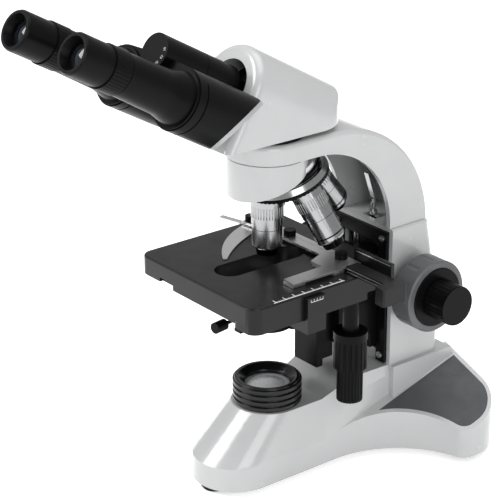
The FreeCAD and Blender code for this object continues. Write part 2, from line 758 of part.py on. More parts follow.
def make_focus_group():
    save("stage_carriage", make_stage_carriage())
    save("lower_stage", make_lower_stage())
    right = to_focus_axis(coarse_knob())
    save("coarse_knobs", right, mirrored(right))
    face = to_focus_axis(coarse_face())
    save("coarse_knob_faces", face, mirrored(face))
    save("coarse_pinion", make_pinion())
    knob = to_focus_axis(fine_knob())
    save("fine_knobs", knob, mirrored(knob))
    save("fine_shaft", to_focus_axis(cyl(fine_shaft_radius, -fine_outer + 5, fine_outer - 5)))


def make_stage_group():
    save("stage_top", make_stage_top())
    guide = box(50, 93, 46.5, 50, stage_top_z, 197).fuse(box(40, 72, 46.5, 60, stage_top_z, 187))
    for x in (55, 70, 87):
        guide = guide.fuse(Part.makeCylinder(1.9, 1.2, V(x, 46.5, 193), V(0, 1, 0)))
    save("rail_guide", guide.removeSplitter())
    stem = cyl(6.5, 131, skirt_bottom, control_x, control_y)
    stem = stem.fuse(cyl(4, 64 + 8, stage_bottom + 5, control_x, control_y))
    stem = stem.common(cyl(20, x_knob_low + 4, 200, control_x, control_y))
    save("control_stem", stem.removeSplitter())
    y_knob = fluted(y_knob_radius, 99, 124, control_x, control_y, 18, 0.9)
    y_knob = y_knob.fuse(cyl(y_knob_radius + 0.5, 124, 130.6, control_x, control_y))
    y_knob = y_knob.cut(cyl(4 + run_gap, 90, 140, control_x, control_y))
    save("y_knob", y_knob.removeSplitter())
    x_knob = fluted(x_knob_radius, x_knob_low, 98.6, control_x, control_y, 24, 0.5)
    x_knob = x_knob.cut(cyl(4 + run_gap, x_knob_low + 3, 140, control_x, control_y))
    save("x_knob", x_knob.removeSplitter())


def make_slide_holder_group():
    low = stage_top_z + slide_gap
    rail = box(61, rail_right, rail_front, rail_back - 4, low, 190)
    rail = rail.cut(box(62, 104, rail_front - 1, rail_front + 2, low + 1.6, low + 3.8))
    tongue = box(-40, 61, rail_front + 4, rail_back - 4, low, holder_z - 2)
    end = rounded_box(rail_right - 11, rail_right, 20, rail_back - 2, 176, 190, 1.5)
    save("x_rail", rail.fuse([tongue, end]).removeSplitter())
    left = finger_pivot[0] - 5
    outline = [(left, 27), (-34, 31), (27, 31), (33, 17), (46.5, 17), (47.5, -22), (59.5, -23), (60, 45),
               (-34, 45), (left, 39)]
    holder = plate(outline, holder_z - 2, holder_z)
    foot_pads = box(47.6, 59, -22.5, -10, low, holder_z - 2)
    foot_pads = foot_pads.fuse(box(34, 60, 17.5, 28, low, holder_z - 2))
    pin = cyl(2.5, stage_top_z + slide_gap, holder_z - 2, *finger_pivot)
    save("slide_holder", holder.fuse([foot_pads, pin]).removeSplitter())
    posts = [fluted(5, holder_z, holder_z + post_height, x, y, 16, 0.4)
             for x, y in ((-18.5, 38), (43.5, 39), finger_pivot)]
    save("holder_posts", *posts)


def make_spring_finger():
    """Crescent finger that presses the slide, with a thumb tail."""
    px, py = finger_pivot
    z0 = stage_top_z + finger_low
    z1 = z0 + finger_thick
    outer = Part.Arc(V(px - 5, py - 2, z0), V(-50, -2, z0), V(-19, -29, z0)).toShape()
    tip = Part.makeLine(V(-19, -29, z0), V(-17, -26.5, z0))
    inner = Part.Arc(V(-17, -26.5, z0), V(-37, 1, z0), V(px + 13, py - 5, z0)).toShape()
    close = Part.makeLine(V(px + 13, py - 5, z0), V(px + 4, py + 4, z0))
    back = Part.makeLine(V(px + 4, py + 4, z0), V(px - 5, py - 2, z0))
    blade = Part.Face(Part.Wire([outer, tip, inner, close, back])).extrude(V(0, 0, finger_thick))
    hub = cyl(6, z0, z1, px, py)
    tail = plate([(px, py + 3), (px - 32, py - 5), (px - 30, py - 10), (px, py - 3)], z0, z1)
    solid = blade.fuse([hub, tail])
    return solid.cut(cyl(2.5 + run_gap, z0 - 1, z1 + 1, px, py)).removeSplitter()


# --- condenser -----------------------------------------------------------------
def make_condenser_group():
    half = slideway_half_width
    step = slideway_front + 10
    face = slideway_front + 3
    slideway = box(-half, half, step, slideway_back, carriage_low, lower_bottom)
    slideway = slideway.fuse(box(-half, half, face, step, slideway_low, 150))
    save("condenser_slideway", slideway.removeSplitter())
    carrier = ring(condenser_radius + 6, condenser_radius + 0.1, 150.4, 158)
    carrier = carrier.fuse(box(-12, 12, condenser_radius + 4, slideway_front + 3 - slide_gap, 128, 158))
    carrier = carrier.cut(cyl(condenser_radius + 0.1, 100, 170)).cut(cyl(iris_radius + 0.6, 100, 150.4))
    save("condenser_carrier", carrier.removeSplitter())
    body = cyl(condenser_radius, 150, condenser_top - 5)
    body = body.fuse(cone(condenser_radius, 14, condenser_top - 5, condenser_top))
    body = body.fuse(cyl(iris_radius, 139, 150))
    body = body.cut(cyl(11, 120, 200)).cut(cyl(13 + 0.05, condenser_top - 3, 200))
    groove = ring(60, 21.5, 143, 145.4).common(plate([(0, 0), (-60, -90), (60, -90)], 140, 150))
    body = body.cut(groove)
    body = body.fuse(cyl(1.6, 131.8, 139, 20, 10))
    save("condenser", body.removeSplitter())
    lens = Part.makeSphere(24, V(0, 0, condenser_top - 23))
    lens = lens.common(cyl(13, condenser_top - 3, condenser_top + 5))
    save("condenser_lens", lens)
    lever = ring(24, 21.8, 143.4, 145).common(box(-6, 6, -40, -10, 140, 150))
    lever = lever.fuse(box(-1.5, 1.5, -50, -22.5, 143.4, 145)).fuse(
        Part.makeCylinder(4.5, 11, V(0, -60, 144.2), V(0, 1, 0)))
    lever.rotate(V(0, 0, 0), V(0, 0, 1), 9)
    save("iris_lever", lever.removeSplitter())
    tray_top = condenser_low + 2.6
    tray = ring(21, 16, condenser_low, tray_top).fuse(cyl(4, condenser_low, tray_top, 20, 10))
    tray = tray.fuse(box(-4, 4, -30, -20, condenser_low, tray_top))
    tray = tray.cut(cyl(1.6 + run_gap, 100, 200, 20, 10))
    save("filter_tray", tray.removeSplitter())


# --- head ------------------------------------------------------------------------
def make_head_body():
    length = 150
    top = Part.makeCylinder(head_radius, length, V(0, 0, head_face - length))
    skirt = Part.makeBox(2 * head_radius, 200, length, V(-head_radius, -200, head_face - length))
    solid = to_head(top.fuse(skirt).removeSplitter())
    plan = box(-head_radius, head_radius, -120, head_back - head_radius, head_bottom, 420)
    plan = plan.fuse(cyl(head_radius, head_bottom, 420, 0, head_back - head_radius))
    solid = solid.common(plan).removeSplitter()
    front = [e for e in solid.Edges if front_rim(e)]
    return solid.makeFillet(7.0, front)


def front_rim(edge):
    """Edges that bound the inclined front face of the head."""
    axis = V(0, -math.cos(math.radians(tube_tilt)), math.sin(math.radians(tube_tilt)))
    face_point = V(0, 0, hinge_height) + axis * head_face
    for vertex in edge.Vertexes:
        if abs((vertex.Point - face_point).dot(axis)) > 0.01:
            return False
    return edge.BoundBox.ZMax > head_bottom + 0.5


def knuckle_part(z0, z1, radius, bore):
    solid = Part.makeCylinder(radius, z1 - z0, V(0, 0, z0))
    return solid.cut(Part.makeCylinder(bore, z1 - z0 + 2, V(0, 0, z0 - 1)))


def prism_section(z0, z1):
    """Wedge from the hinge axis to the prism housing's round, right side."""
    centre = V(tube_half_spacing, -tube_drop, 0)
    radial = math.atan2(-tube_drop, tube_half_spacing)
    half = math.asin(prism_radius / tube_radial)
    reach = tube_radial * math.cos(half)
    a = V(reach * math.cos(radial + half), reach * math.sin(radial + half), z0)
    b = V(reach * math.cos(radial - half), reach * math.sin(radial - half), z0)
    wedge = polygon([V(0, 0, z0), a, b], V(0, 0, z1 - z0))
    round_end = Part.makeCylinder(prism_radius, z1 - z0, V(centre.x, centre.y, z0))
    return wedge.fuse(round_end).removeSplitter()


def slant_block(offset):
    """Everything behind the slanted rear of the right prism housing."""
    radial = V(tube_half_spacing, -tube_drop, 0) * (1 / tube_radial)
    start = radial * 41 + V(0, 0, arm_rear + offset)
    normal = (radial - V(0, 0, 1))
    normal.normalize()
    block = Part.makeBox(300, 300, 200, V(-150, -150, 0))
    block.Placement = FreeCAD.Placement(start, FreeCAD.Rotation(V(0, 0, 1), normal))
    return block


def make_prism_arm(own, other):
    """Right prism housing with its own hinge knuckle, tube frame."""
    body = prism_section(arm_rear, arm_front).cut(slant_block(4.5))
    body = body.cut(Part.makeCylinder(barrel_hinge_radius + 0.3, other[1] - other[0] + 2 * 0.3,
                                      V(0, 0, other[0] - 0.3)))
    body = body.cut(Part.makeCylinder(barrel_hinge_radius - 1, own[1] - own[0], V(0, 0, own[0])))
    body = body.fuse(knuckle_part(own[0], own[1], barrel_hinge_radius, axle_radius + run_gap))
    centre = V(tube_half_spacing, -tube_drop, 0)
    body = body.cut(Part.makeCylinder(prism_radius - 4, 40, centre + V(0, 0, arm_front - 36)))
    groove = Part.makeCylinder(60, 1.2, centre + V(0, 0, arm_front - 8))
    groove = groove.cut(Part.makeCylinder(prism_radius - 0.8, 3, centre + V(0, 0, arm_front - 9)))
    groove = groove.common(Part.makeBox(100, 100, 20, V(12, -80, arm_front - 12)))
    groove = groove.cut(prism_inner())
    return body.cut(groove).removeSplitter()


def prism_inner():
    """Keeps the grooved ring out of the flat side of the wedge."""
    return Part.makeBox(60, 40, 60, V(-8, -8, arm_front - 30))


def make_back_plate():
    section = prism_section(arm_rear, arm_front)
    plate_solid = section.common(slant_block(4.4)).cut(slant_block(0.0))
    gap = Part.makeCylinder(22, 400, V(0, 0, -100))
    return plate_solid.cut(gap).removeSplitter()


def make_eye_tube():
    """Front cover with the flared eye tube, right side, tube frame."""
    x, y = tube_half_spacing, -tube_drop
    flange = cyl(prism_radius - 1, arm_front, arm_front + 2, x, y)
    spigot = cyl(prism_radius - 4.2, arm_front - 6, arm_front, x, y)
    flare = cone(prism_radius - 3.5, eye_tube_radius + 1.2, arm_front + 2, arm_front + 16, x, y)
    tube = cone(eye_tube_radius + 1.2, eye_tube_radius, arm_front + 16, collar_start, x, y)
    solid = flange.fuse([spigot, flare, tube])
    bore = cyl(eyepiece_stem + run_gap, arm_front - 20, collar_end + 2, x, y)
    barrel = Part.makeCylinder(barrel_hinge_radius + 0.6, 100, V(0, 0, 60))
    return solid.cut(bore).cut(barrel).removeSplitter()


def tube_collar(x):
    """Ring at the end of an eye tube."""
    y = -tube_drop
    solid = fluted(eye_tube_radius + 0.6, collar_start + 1, collar_end - 1, x, y, 40, 0.3)
    solid = solid.fuse(cyl(eye_tube_radius - 0.4, collar_start + cover_gap, collar_end, x, y))
    bore = cyl(eyepiece_stem + run_gap, collar_start - 1, collar_end + 1, x, y)
    return solid.cut(bore).removeSplitter()


def make_eyepiece(x):
    y = -tube_drop
    body = cyl(eyepiece_radius, collar_end, eye_end - 2, x, y)
    body = body.fuse(cone(eyepiece_radius, eyepiece_radius - 1, eye_end - 2, eye_end, x, y))
    body = body.fuse(cyl(eyepiece_stem, 128, collar_end, x, y))
    body = body.cut(cone(9.5, 12.4, eye_end - 7, eye_end + 0.01, x, y))
    body = body.cut(cyl(9.5, 130, eye_end - 6.9, x, y))
    return body.removeSplitter()


def eye_lens(x):
    y = -tube_drop
    top = eye_end - 7
    lens = Part.makeSphere(22, V(x, y, top - 20.5)).common(cyl(9.5, top - 3, top + 3, x, y))
    return lens


def make_head_group():
    ring_solid = cyl(head_ring_radius, arm_top - 4 + cover_gap, head_bottom)
    ring_solid = ring_solid.cut(cyl(16, 200, 300))
    save("head_ring", ring_solid)
    body = make_head_body()
    chamber = to_head(Part.makeCylinder(head_bore, 26, V(0, 0, head_face - 25)))
    prism_room = box(-18, 18, -22, 20, head_bottom - 1, 330)
    body = body.cut(chamber).cut(prism_room)
    save("head_body", body.removeSplitter())
    prism = polygon([V(-14, -14, 298), V(-14, 14, 298), V(-14, 14, 322), V(-14, -8, 326)], V(28, 0, 0))
    save("head_prism", prism)
    axle = Part.makeCylinder(axle_radius, hinge_front - 3 - (head_face - 25), V(0, 0, head_face - 25))
    axle = axle.fuse(Part.makeCylinder(head_bore, 6, V(0, 0, head_face - 25)))
    save("hinge_axle", to_head(axle.removeSplitter()))
    front_knuckle = (hinge_split + 0.15, hinge_front)
    rear_knuckle = (arm_rear, hinge_split - 0.15)
    right = make_prism_arm(front_knuckle, rear_knuckle)
    left = mirrored(make_prism_arm(rear_knuckle, front_knuckle))
    cap = Part.makeCylinder(barrel_hinge_radius, 2.4, V(0, 0, hinge_front - 2.4))
    right = right.fuse(cap).removeSplitter()
    save("right_prism_arm", to_head(right))
    save("left_prism_arm", to_head(left))
    back = make_back_plate()
    save("right_back_plate", to_head(back))
    save("left_back_plate", to_head(mirrored(back)))
    tube = make_eye_tube()
    save("right_eye_tube", to_head(tube), to_head(tube_collar(tube_half_spacing)))
    save("left_eye_tube", to_head(mirrored(tube)))
    save("dioptre_ring", to_head(tube_collar(-tube_half_spacing)))
    for side, x in (("right", tube_half_spacing), ("left", -tube_half_spacing)):
        save(side + "_eyepiece", to_head(make_eyepiece(x)))
        save(side + "_eye_lens", to_head(eye_lens(x)))


# --- controls on the stand -----------------------------------------------------
def make_controls():
    dial_outer = -nose_half_width - 9.6
    dial = xcyl(dial_radius, dial_outer, dial_outer + 9, dial_y, dial_z)
    for i in range(20):
        angle = math.radians(18 * i)
        y = dial_y + dial_radius * math.cos(angle)
        z = dial_z + dial_radius * math.sin(angle)
        dial = dial.cut(xcyl(0.9, -70, -30, y, z))
    dial = dial.fuse(xcyl(dial_shaft, -nose_half_width - 1, -nose_half_width + 8, dial_y, dial_z))
    save("brightness_dial", dial.removeSplitter())
    inner = base_back - 6
    face = [(base_back + 1.6, 19), (base_back + 0.4, 25), (base_back + 2.8, 31)]
    rocker = side_slab([(inner, 19)] + face + [(inner, 31)], 6)
    rocker = rocker.fuse(xcyl(1.6, -6.2, 6.2, base_back - 3.5, 25)).removeSplitter()
    rocker.translate(V(-41, 0, 0))
    save("power_switch", rocker)
    inlet = box(30, 58, base_back - 9, base_back + 0.5, 14, 34)
    inlet = inlet.cut(box(33, 55, base_back - 7, base_back + 2, 17, 31))
    pins = [box(x - 1, x + 1, base_back - 7.5, base_back - 1, 22, 26) for x in (39, 44, 49)]
    save("power_inlet", inlet.fuse(pins).removeSplitter())
    knob = Part.makeCylinder(8, 12, V(0, 0, 0))
    knob = knob.fuse(Part.makeCylinder(4, 10, V(0, 0, -10)))
    place = V(-slideway_half_width - 10 - slide_gap, slideway_front + 12, 122)
    knob.Placement = FreeCAD.Placement(place, FreeCAD.Rotation(V(0, 0, 1), V(-1, 0, 0)))
    save("condenser_knob", knob.removeSplitter())


os.makedirs("parts", exist_ok=True)
make_base_group()
make_limb_group()
make_turret_group()
make_focus_group()
make_stage_group()
make_slide_holder_group()
save("spring_finger", make_spring_finger())
make_condenser_group()
make_head_group()
make_controls()
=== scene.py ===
import math

import bmesh
import bpy
from mathutils import Matrix, Vector


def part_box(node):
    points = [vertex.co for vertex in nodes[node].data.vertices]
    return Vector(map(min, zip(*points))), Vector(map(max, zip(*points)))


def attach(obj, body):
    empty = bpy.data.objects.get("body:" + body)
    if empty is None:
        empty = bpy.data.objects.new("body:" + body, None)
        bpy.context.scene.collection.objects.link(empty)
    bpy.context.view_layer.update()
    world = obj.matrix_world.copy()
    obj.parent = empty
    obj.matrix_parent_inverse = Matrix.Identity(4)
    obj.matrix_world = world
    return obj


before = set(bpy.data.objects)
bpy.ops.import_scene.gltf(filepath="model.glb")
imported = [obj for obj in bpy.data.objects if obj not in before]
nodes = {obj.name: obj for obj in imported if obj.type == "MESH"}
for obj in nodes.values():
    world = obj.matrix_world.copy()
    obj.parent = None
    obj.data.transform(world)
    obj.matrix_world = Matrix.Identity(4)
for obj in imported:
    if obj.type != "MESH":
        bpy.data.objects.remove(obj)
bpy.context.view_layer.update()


# --- node material helpers ------------------------------------------------
class Look:
    """A principled material with short calls for the usual node chains."""

    def __init__(self, name, colour, roughness, metallic=0.0):
        self.material = bpy.data.materials.new(name)
        self.material.use_nodes = True
        self.tree = self.material.node_tree
        self.shader = self.tree.nodes["Principled BSDF"]
        self.shader.inputs["Base Color"].default_value = (*colour, 1)
        self.shader.inputs["Roughness"].default_value = roughness
        self.shader.inputs["Metallic"].default_value = metallic
        self.height = None

    def put(self, **sockets):
        for name, value in sockets.items():
            self.shader.inputs[name.replace("_", " ")].default_value = value
        return self

    def node(self, kind, **settings):
        made = self.tree.nodes.new(kind)
        for name, value in settings.items():
            setattr(made, name, value)
        return made

    def link(self, a, b):
        self.tree.links.new(a, b)

    def place(self, scale=(1, 1, 1)):
        """Object coordinates stretched by a scale."""
        source = self.node("ShaderNodeTexCoord")
        mapping = self.node("ShaderNodeMapping")
        mapping.inputs["Scale"].default_value = scale
        self.link(source.outputs["Object"], mapping.inputs["Vector"])
        return mapping.outputs["Vector"]

    def noise(self, size, detail=2.0, vector=None):
        """Noise whose grain is about `size` metres."""
        texture = self.node("ShaderNodeTexNoise")
        texture.inputs["Scale"].default_value = 1 / size
        texture.inputs["Detail"].default_value = detail
        self.link(vector or self.place(), texture.inputs["Vector"])
        return texture.outputs["Fac"]

    def span(self, value, low, high, start=0.3, end=0.7):
        """Maps a 0 to 1 value between low and high."""
        mapped = self.node("ShaderNodeMapRange")
        limits = {"From Min": start, "From Max": end, "To Min": low, "To Max": high}
        for name, number in limits.items():
            mapped.inputs[name].default_value = number
        self.link(value, mapped.inputs["Value"])
        return mapped.outputs["Result"]

    def blend(self, factor, dark, light):
        """Colour between dark and light."""
        mixed = self.node("ShaderNodeMix", data_type="RGBA")
        mixed.inputs[6].default_value = (*dark, 1)
        mixed.inputs[7].default_value = (*light, 1)
        self.link(factor, mixed.inputs[0])
        return mixed.outputs[2]

    def colour(self, value):
        self.link(value, self.shader.inputs["Base Color"])
        return self

    def rough(self, value):
        self.link(value, self.shader.inputs["Roughness"])
        return self

    def bump(self, value, depth, strength=1.0):
        bump = self.node("ShaderNodeBump")
        bump.inputs["Strength"].default_value = strength
        bump.inputs["Distance"].default_value = depth
        self.link(value, bump.inputs["Height"])
        if self.height is not None:
            self.link(self.height, bump.inputs["Normal"])
        self.height = bump.outputs["Normal"]
        self.link(self.height, self.shader.inputs["Normal"])
        return self


def paint(name, colour, roughness, coat, grain=0.0012, depth=0.00002, spread=0.03, gloss=0.5):
    """Sprayed enamel: faint orange peel, slightly uneven tone and gloss."""
    look = Look(name, colour, roughness)
    look.put(Coat_Weight=coat, Coat_Roughness=0.08, IOR=1.5, Specular_IOR_Level=gloss)
    tone = look.noise(0.06, 3)
    dark = tuple(c * (1 - spread) for c in colour)
    light = tuple(min(1, c * (1 + spread)) for c in colour)
    look.colour(look.blend(look.span(tone, 0, 1), dark, light))
    look.rough(look.span(look.noise(0.02, 3), roughness * 0.85, roughness * 1.15))
    look.bump(look.noise(grain, 1), depth, 0.35)
    return look.material


def moulded(name, colour, roughness, grain=0.0006, depth=0.00003, spread=0.12, gloss=0.5):
    """Moulded plastic with a fine spark-eroded grain."""
    look = Look(name, colour, roughness)
    look.put(IOR=1.49, Specular_IOR_Level=gloss)
    tone = look.noise(0.03, 4)
    dark = tuple(c * (1 - spread) for c in colour)
    light = tuple(min(1, c * (1 + spread)) for c in colour)
    look.colour(look.blend(look.span(tone, 0, 1), dark, light))
    look.rough(look.span(look.noise(0.008, 3), roughness * 0.85, roughness * 1.2))
    look.bump(look.noise(grain, 2), depth, 0.5)
    return look.material


def metal(name, colour, roughness, streak=(1, 1, 1), grain=0.0004, depth=0.00001, spread=0.06):
    """Bright metal with machining streaks along the axis with the small scale."""
    look = Look(name, colour, roughness, 1.0)
    vector = look.place(scale=streak)
    fine = look.noise(grain, 2, vector)
    dark = tuple(c * (1 - spread) for c in colour)
    light = tuple(min(1, c * (1 + spread)) for c in colour)
    look.colour(look.blend(look.span(fine, 0, 1), dark, light))
    look.rough(look.span(fine, roughness * 0.75, roughness * 1.3))
    look.bump(fine, depth, 0.3)
    return look.material


white = paint("white_enamel", (0.40, 0.403, 0.407), 0.24, 0.5)
# Back plates: the white enamel darkened to grey as painted shade, standing in for the plates lying in
# the prism arms' shadow.
painted_shade_grey = paint("white_enamel_painted_shade", (0.30, 0.305, 0.31), 0.35, 0.2)
side_grey = moulded("side_panel_grey", (0.060, 0.062, 0.066), 0.42, 0.0008, 0.00004, gloss=0.3)
knob_grey = moulded("knob_grey", (0.085, 0.087, 0.09), 0.38, 0.0008, 0.00003, gloss=0.4)
black = moulded("black_plastic", (0.003, 0.003, 0.0034), 0.33, gloss=0.08)
gloss_black = moulded(
    "gloss_black_plastic", (0.004, 0.004, 0.0045), 0.17, 0.002, 0.00001, gloss=0.3)
black_metal = paint(
    "black_anodised", (0.003, 0.0031, 0.0034), 0.34, 0.01, 0.0005, 0.00002, 0.1, 0.07)
stage_black = paint("stage_black", (0.0045, 0.0046, 0.005), 0.34, 0.03, 0.0004, 0.00002, 0.1, 0.22)
rubber = moulded("foot_rubber", (0.008, 0.008, 0.008), 0.75, 0.0009, 0.0001, gloss=0.2)
steel = metal("brushed_steel", (0.50, 0.50, 0.51), 0.26, (1, 8, 8), 0.0012)
silver = metal("satin_silver", (0.56, 0.56, 0.565), 0.34, (1, 6, 1), 0.001)


def level_along(look, origin, direction):
    """Distance in metres from a point along a direction, as a node value."""
    source = look.node("ShaderNodeTexCoord")
    offset = look.node("ShaderNodeVectorMath", operation="SUBTRACT")
    offset.inputs[1].default_value = origin
    along = look.node("ShaderNodeVectorMath", operation="DOT_PRODUCT")
    along.inputs[1].default_value = direction
    look.link(source.outputs["Object"], offset.inputs[0])
    look.link(offset.outputs["Vector"], along.inputs[0])
    return along.outputs["Value"]


chrome_bright = (0.36, 0.363, 0.367)
chrome_dark = (0.006, 0.006, 0.007)
band_reach = 100.0          # mm covered by the colour ramp of the bands
turning_lines = 5200        # noise cycles per metre of the lathe marks


def banded(name, origin, direction, bands):
    """Chrome with dark painted bands; each band is (start, end) in mm along the direction."""
    look = Look(name, chrome_bright, 0.16, 1.0)
    level = level_along(look, origin, direction)
    ramp = look.node("ShaderNodeValToRGB")
    ramp.color_ramp.interpolation = "CONSTANT"
    scaled = look.node("ShaderNodeMath", operation="MULTIPLY")
    scaled.inputs[1].default_value = 1000 / band_reach
    look.link(level, scaled.inputs[0])
    stops = ramp.color_ramp.elements
    stops[0].position, stops[0].color = 0.0, (*chrome_bright, 1)
    stops[1].position, stops[1].color = bands[0][0] / band_reach, (*chrome_dark, 1)
    for k, (start, end) in enumerate(bands):
        if k:
            stops.new(start / band_reach).color = (*chrome_dark, 1)
        stops.new(end / band_reach).color = (*chrome_bright, 1)
    look.link(scaled.outputs[0], ramp.inputs["Fac"])
    turning = look.node("ShaderNodeTexNoise", noise_dimensions="1D")
    turning.inputs["Scale"].default_value = 1.0
    turning.inputs["Detail"].default_value = 2.0
    lines = look.node("ShaderNodeMath", operation="MULTIPLY")
    lines.inputs[1].default_value = turning_lines
    look.link(level, lines.inputs[0])
    look.link(lines.outputs[0], turning.inputs["W"])
    shade = look.node("ShaderNodeMix", data_type="RGBA", blend_type="MULTIPLY")
    shade.inputs[0].default_value = 1.0
    tint = look.blend(look.span(turning.outputs["Fac"], 0, 1), (0.82, 0.82, 0.82), (1, 1, 1))
    look.link(ramp.outputs["Color"], shade.inputs[6])
    look.link(tint, shade.inputs[7])
    look.colour(shade.outputs[2])
    look.rough(look.span(turning.outputs["Fac"], 0.13, 0.24))
    look.bump(turning.outputs["Fac"], 0.00001, 0.3)
    return look.material


def frosted_glass():
    look = Look("frosted_glass", (0.42, 0.43, 0.44), 0.30)
    look.put(IOR=1.5, Coat_Weight=0.5, Coat_Roughness=0.05)
    look.rough(look.span(look.noise(0.002, 3), 0.22, 0.36))
    tone = look.span(look.noise(0.01, 2), 0, 1)
    look.colour(look.blend(tone, (0.38, 0.39, 0.40), (0.46, 0.47, 0.48)))
    return look.material


def coated_glass():
    look = Look("coated_glass", (0.006, 0.008, 0.011), 0.04)
    look.put(IOR=1.45, Coat_Weight=0.1, Coat_Roughness=0.02)
    tone = look.span(look.noise(0.01, 2), 0, 1)
    look.colour(look.blend(tone, (0.005, 0.0065, 0.009), (0.007, 0.0095, 0.013)))
    return look.material


frosted = frosted_glass()
lamp_x = sum(corner.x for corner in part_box("illuminator_lens")) / 2
lamp_y = sum(corner.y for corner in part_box("illuminator_lens")) / 2
turret_tilt = math.radians(20)
turret_back = 0.018794      # turret axis behind the optical axis, at the turret's face
turret_foot_z = 0.24734
shoulder_z = 0.230          # shoulder of the objective in the light path
turret_axis = Vector((0, -math.sin(turret_tilt), math.cos(turret_tilt)))
turret_foot = Vector((lamp_x, lamp_y + turret_back, turret_foot_z))
working_shoulder = Vector((lamp_x, lamp_y, shoulder_z))


def objective_look(name, turn, bands):
    spin = Matrix.Rotation(math.radians(turn), 4, turret_axis)
    shoulder = turret_foot + spin @ (working_shoulder - turret_foot)
    direction = spin @ Vector((0, 0, -1))
    return banded(name, shoulder, direction, bands)


chrome = banded("turret_chrome", turret_foot, turret_axis, [(7.8, 60)])
lens = coated_glass()

looks = {
    "base": white, "limb": white, "arm": white, "head_body": white,
    "bottom_plate": steel, "rubber_feet": rubber, "side_panels": side_grey,
    "illuminator_collar": gloss_black, "illuminator_lens": frosted, "lamp_board": black,
    "focus_plate": black_metal, "cover_screws": steel, "focus_stop": steel,
    "turret_disc": chrome, "turret_grip": black, "turret_pivot": steel,
    "objective_10x": objective_look("chrome_10x", 0, [(18.2, 18.7), (34.0, 41)]),
    "objective_40x": objective_look("chrome_40x", 90, [(18.2, 18.7), (33.0, 34.2), (38.5, 45)]),
    "objective_100x": objective_look("chrome_100x", 180, [(18.2, 18.7), (33.0, 34.2), (38.5, 45)]),
    "objective_4x": objective_look("chrome_4x", 270, [(18.2, 18.7), (26, 30)]),
    "stage_carriage": black_metal, "lower_stage": stage_black,
    "coarse_knobs": knob_grey, "coarse_knob_faces": black, "coarse_pinion": steel,
    "fine_knobs": black, "fine_shaft": steel,
    "stage_top": stage_black, "rail_guide": stage_black, "control_stem": black_metal,
    "y_knob": black, "x_knob": black, "x_rail": stage_black,
    "slide_holder": silver, "holder_posts": black, "spring_finger": silver,
    "condenser_slideway": black_metal, "condenser_carrier": black_metal, "condenser": black_metal,
    "condenser_lens": frosted, "iris_lever": black_metal, "filter_tray": black_metal,
    "head_ring": black_metal, "head_prism": lens, "hinge_axle": black_metal,
    "right_prism_arm": black_metal, "left_prism_arm": black_metal,
    "right_back_plate": painted_shade_grey, "left_back_plate": painted_shade_grey,
    "right_eye_tube": black_metal, "left_eye_tube": black_metal, "dioptre_ring": black,
    "right_eyepiece": black, "left_eyepiece": black, "right_eye_lens": lens, "left_eye_lens": lens,
    "brightness_dial": black, "power_switch": gloss_black, "power_inlet": black,
    "condenser_knob": black,
}


# --- edge softening on the carried-over CAD nodes ---------------------------
soft_edges = {
    "base": 1.6, "limb": 1.2, "arm": 0.8, "head_body": 0.6, "side_panels": 0.3, "focus_plate": 0.4,
    "stage_top": 0.5, "lower_stage": 0.6, "rail_guide": 0.5, "x_rail": 0.5, "slide_holder": 0.3,
    "spring_finger": 0.3, "right_prism_arm": 1.0, "left_prism_arm": 1.0, "right_back_plate": 0.6,
    "left_back_plate": 0.6, "right_eyepiece": 0.5, "left_eyepiece": 0.5, "head_ring": 0.3,
    "stage_carriage": 0.5, "condenser_slideway": 0.8, "illuminator_collar": 0.7, "rubber_feet": 0.6,
    "power_switch": 0.5, "power_inlet": 0.4, "coarse_knob_faces": 0.4,
}


default_edge = 0.25         # mm, bevel width of a node with no width of its own
weld_distance = 0.000005


def soften(name, width):
    """Rounds the sharp edges of a CAD node and evens its shading; width in mm."""
    target = nodes[name]
    weld = target.modifiers.new("weld", "WELD")
    weld.merge_threshold = weld_distance
    bevel = target.modifiers.new("edge", "BEVEL")
    bevel.width = width / 1000
    bevel.segments = 3
    bevel.limit_method = "ANGLE"
    bevel.angle_limit = math.radians(32)
    bevel.use_clamp_overlap = True
    normals = target.modifiers.new("normals", "WEIGHTED_NORMAL")
    normals.keep_sharp = False


for name, material in looks.items():
    data = nodes[name].data
    data.materials.clear()
    data.materials.append(material)
    soften(name, soft_edges.get(name, default_edge))


# --- printed marks and bright trim ---------------------------------------------
scale_white = paint("scale_white", (0.62, 0.62, 0.62), 0.5, 0.0, 0.0006)
dim_white = paint("dial_white", (0.42, 0.42, 0.42), 0.5, 0.0, 0.0006)
trim_silver = metal("trim_silver", (0.62, 0.62, 0.63), 0.3, (1, 8, 8), 0.001)


def add_piece(name, shape, body, material):
    """Links a finished bmesh as a piece that rides on a body."""
    mesh = bpy.data.meshes.new(name)
    shape.to_mesh(mesh)
    shape.free()
    mesh.materials.append(material)
    piece = bpy.data.objects.new(name, mesh)
    bpy.context.scene.collection.objects.link(piece)
    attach(piece, body)
    return piece


def slabs(name, boxes, body, material):
    """Thin raised marks: each box is (low corner, high corner) in metres."""
    shape = bmesh.new()
    for low, high in boxes:
        low, high = Vector(low), Vector(high)
        size = high - low
        place = Matrix.Translation((low + high) / 2) @ Matrix.Diagonal((*size, 1))
        bmesh.ops.create_cube(shape, size=1.0, matrix=place)
    return add_piece(name, shape, body, material)


def stand(x, y, z):
    """A point given in mm from the optical axis and the table."""
    return (lamp_x + x / 1000, lamp_y + y / 1000, z / 1000)


def stage_scale():
    """Travel scale printed along the stage's right edge."""
    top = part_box("stage_top")[1].z * 1000
    low, high = top - 0.1, top + 0.08
    inner, outer = 66.2, 70.2
    pitch = 9.3
    boxes = [(stand(outer, -50, low), stand(71.1, 19, high))]
    for k in range(8):
        y = -48 + pitch * k
        boxes.append((stand(inner, y, low), stand(outer, y + 0.7, high)))
        for m in range(1, 5):
            if k < 7:
                small = y + pitch * m / 5
                boxes.append((stand(69.0, small, low), stand(outer, small + 0.28, high)))
    slabs("stage_scale", boxes, "stage", scale_white)


